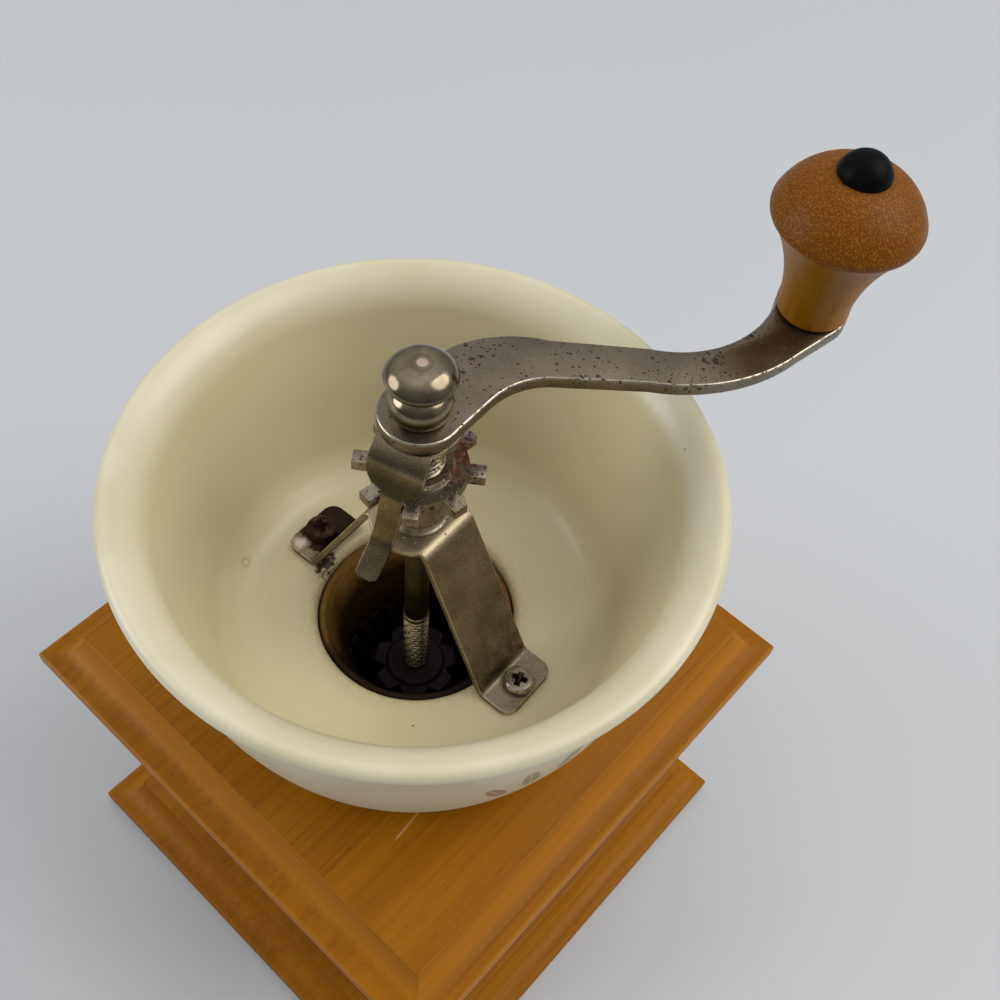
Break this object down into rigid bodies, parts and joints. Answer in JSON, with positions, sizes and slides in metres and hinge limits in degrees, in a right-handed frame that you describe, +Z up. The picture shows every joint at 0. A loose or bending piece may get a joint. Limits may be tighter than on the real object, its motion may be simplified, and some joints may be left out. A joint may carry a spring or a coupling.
{
  "type": "manual coffee grinder",
  "caption": "Hand cranked coffee grinder with a moulded wooden box and drawer, an open ceramic hopper bowl, a steel bridge and crank with a wooden knob, and conical burrs.",
  "frame": {"origin": "middle of the base's underside, on the table and on the drive's axis", "axes": "+Z up along the drive shaft, -Y out of the drawer's front, +X to the drawer's right seen from the front"},
  "size_m": [0.1505, 0.127, 0.221],
  "materials": {
    "lacquered_wood": "honey stain under satin lacquer",
    "plain_wood": "sanded, unlacquered",
    "knob_wood": "turned, darker stain under satin lacquer",
    "cream_glaze": "cream glaze, glossy",
    "nickel_plate": "aged nickel plate with fine pits and rust specks",
    "bright_chrome": "polished",
    "shaft_steel": "turned, dulled",
    "screw_steel": "zinc plated",
    "burr_iron": "hardened, oiled",
    "bush_brass": "plain",
    "black_plastic": "glossy"
  },
  "bodies": {
    "base": {"bottom_plate": "lacquered_wood", "top_plate": "lacquered_wood", "left_wall": "lacquered_wood", "right_wall": "lacquered_wood", "back_wall": "lacquered_wood", "front_rail": "lacquered_wood", "throat_ring": "plain_wood", "hopper_bowl": "cream_glaze", "bracket": "nickel_plate", "bracket_bush": "nickel_plate", "bracket_screw_front": "screw_steel", "bracket_screw_rear": "screw_steel", "outer_burr": "burr_iron", "lower_bridge": "nickel_plate", "lower_bush": "bush_brass", "burr_screw_left": "screw_steel", "burr_screw_right": "screw_steel", "base_screw_front_left": "screw_steel", "base_screw_rear_left": "screw_steel", "base_screw_front_right": "screw_steel", "base_screw_rear_right": "screw_steel"},
    "drive": {"shaft": "shaft_steel", "inner_burr": "burr_iron", "burr_nut": "screw_steel", "adjusting_wheel": "nickel_plate", "lock_plate": "nickel_plate", "crank_arm": "nickel_plate", "cap_nut": "bright_chrome", "knob_axle": "shaft_steel"},
    "knob": {"knob_grip": "knob_wood", "knob_cap": "black_plastic"},
    "drawer": {"drawer_front": "lacquered_wood", "drawer_left": "plain_wood", "drawer_right": "plain_wood", "drawer_back": "plain_wood", "drawer_bottom": "plain_wood", "drawer_pull": "knob_wood", "pull_screw": "screw_steel"}
  },
  "joints": [
    {"name": "crank_turn", "type": "hinge", "parent": "base", "child": "drive", "pos_m": [0, 0, 0.156], "axis": [0, 0, 1], "continuous": true},
    {"name": "knob_spin", "type": "hinge", "parent": "drive", "child": "knob", "pos_m": [0.0728, -0.03551, 0.2], "axis": [0, 0, 1], "continuous": true},
    {"name": "drawer_slide", "type": "slide", "parent": "base", "child": "drawer", "axis": [0, -1, 0], "range_m": [0, 0.06]}
  ]
}
